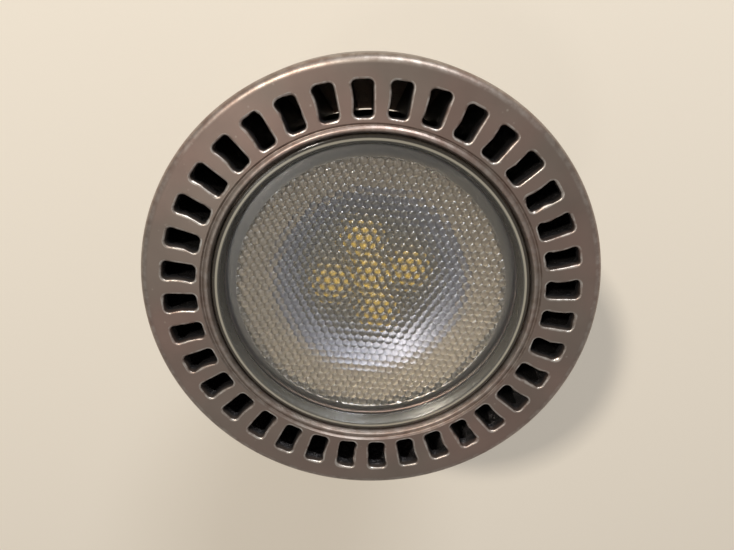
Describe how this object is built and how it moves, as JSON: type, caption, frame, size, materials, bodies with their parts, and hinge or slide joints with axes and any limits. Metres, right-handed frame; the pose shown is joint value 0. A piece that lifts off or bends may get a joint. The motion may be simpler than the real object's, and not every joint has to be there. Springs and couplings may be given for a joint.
{
  "type": "led spotlight bulb",
  "caption": "Mains-voltage reflector spotlight lamp with a vented finned heat sink, a pebbled clear lens and twist-and-lock contact pins.",
  "frame": {"origin": "on the lamp's axis, at the ends of the two contact pins", "axes": "+Z along the lamp's axis towards the lens, the two contact pins lie along X"},
  "size_m": [0.05, 0.05, 0.0545],
  "materials": {
    "casting": "warm grey satin lacquer on die-cast aluminium",
    "lens_clear": "clear pebbled optical plastic",
    "reflector_white": "bright metallised plastic",
    "pad_grey": "soft heat-conducting pad",
    "board_white": "pale tan solder mask on an aluminium board",
    "screw_steel": "zinc plated",
    "base_plastic": "heat-resistant moulded plastic",
    "pin_nickel": "nickel plated brass",
    "cup_plastic": "insulating liner",
    "laminate": "green glass laminate",
    "capacitor_sleeve": "shrink sleeve",
    "ferrite": "ferrite",
    "copper": "lacquered copper wire",
    "film_yellow": "boxed film capacitor",
    "resistor_body": "coated resistor",
    "chip_black": "moulded package with tinned legs",
    "lead_red": "insulated wire",
    "lead_black": "insulated wire",
    "lead_white": "insulated wire",
    "led_ceramic": "white ceramic package",
    "phosphor": "yellow phosphor under clear silicone"
  },
  "bodies": {
    "root": {"base_housing": "base_plastic", "board_screws": "screw_steel", "bridge_rectifier": "chip_black", "bulk_capacitor": "capacitor_sleeve", "choke_core": "ferrite", "choke_winding": "copper", "driver_board": "laminate", "driver_chip": "chip_black", "driver_cup": "cup_plastic", "film_capacitor": "film_yellow", "fuse_resistor": "resistor_body", "heat_sink": "casting", "led_board": "board_white", "led_lead_negative": "lead_black", "led_lead_positive": "lead_red", "led_package_1": "led_ceramic", "led_package_2": "led_ceramic", "led_package_3": "led_ceramic", "led_package_4": "led_ceramic", "led_package_5": "led_ceramic", "led_phosphor_1": "phosphor", "led_phosphor_2": "phosphor", "led_phosphor_3": "phosphor", "led_phosphor_4": "phosphor", "led_phosphor_5": "phosphor", "lens": "lens_clear", "mains_lead_left": "lead_white", "mains_lead_right": "lead_white", "pin_left": "pin_nickel", "pin_right": "pin_nickel", "reflector": "reflector_white", "thermal_pad": "pad_grey"}
  },
  "joints": []
}
